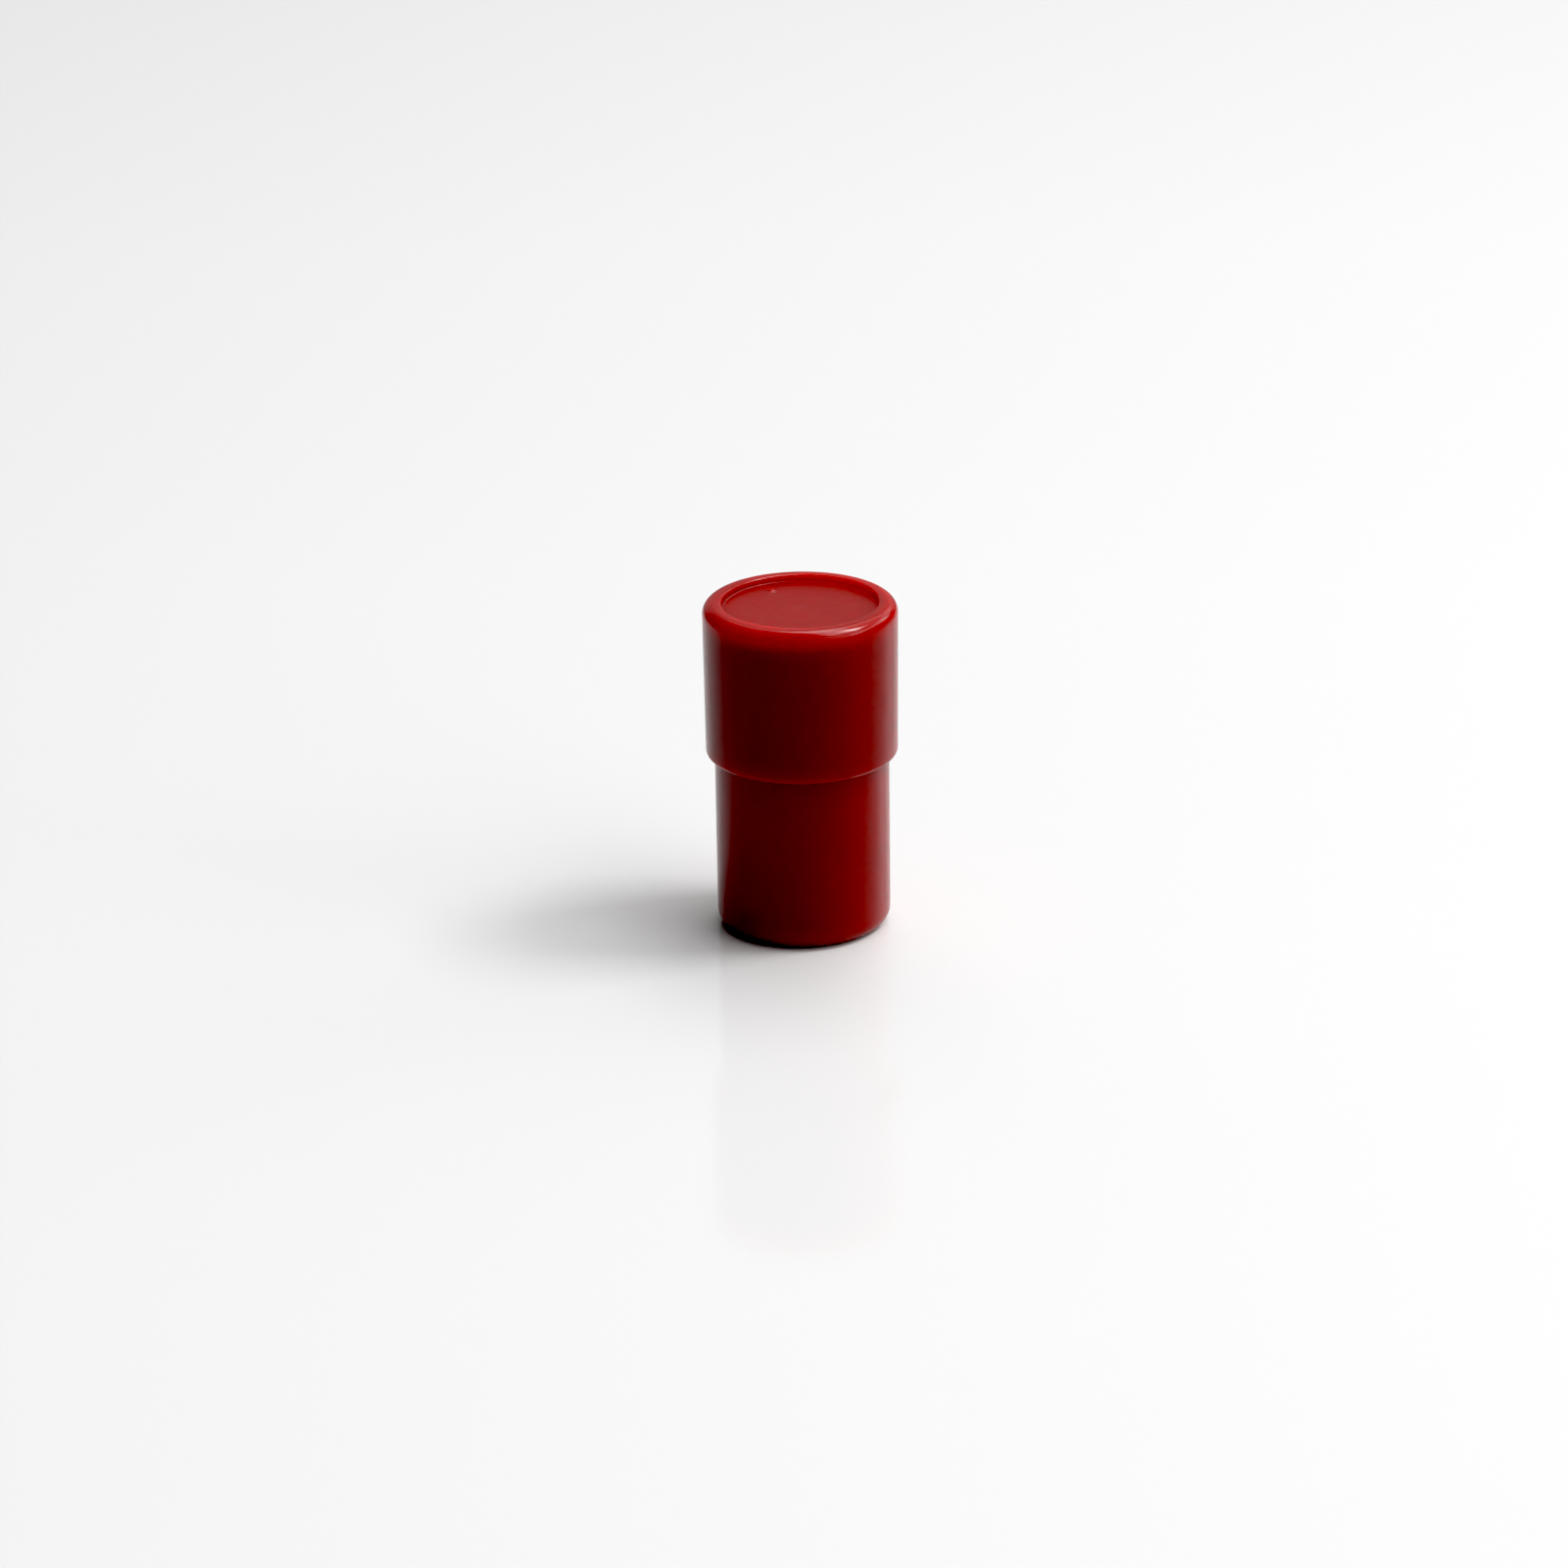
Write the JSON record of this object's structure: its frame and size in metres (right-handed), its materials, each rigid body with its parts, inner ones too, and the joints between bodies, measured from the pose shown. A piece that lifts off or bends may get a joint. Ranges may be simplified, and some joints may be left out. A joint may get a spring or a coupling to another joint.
{
  "type": "slip-cap token tube",
  "caption": "Small round moulded plastic tube with a wider slip-on cap, for holding or standing in for game pieces.",
  "frame": {"origin": "centre of the foot ring's plane, under the middle of the tube", "axes": "+Z along the tube's axis, from the foot towards the cap; X and Y are free, because the part is turned"},
  "size_m": [0.02, 0.02, 0.0351],
  "materials": {
    "body_plastic": "smooth moulded gloss red, slightly translucent",
    "cap_plastic": "smooth moulded gloss red, slightly translucent, satin in the sunk top panel"
  },
  "bodies": {
    "body": {"tube_body": "body_plastic"},
    "cap": {"slip_cap": "cap_plastic"}
  },
  "joints": [
    {"name": "cap_pull", "type": "slide", "parent": "body", "child": "cap", "axis": [0, 0, 1], "range_m": [0, 0.03]}
  ]
}
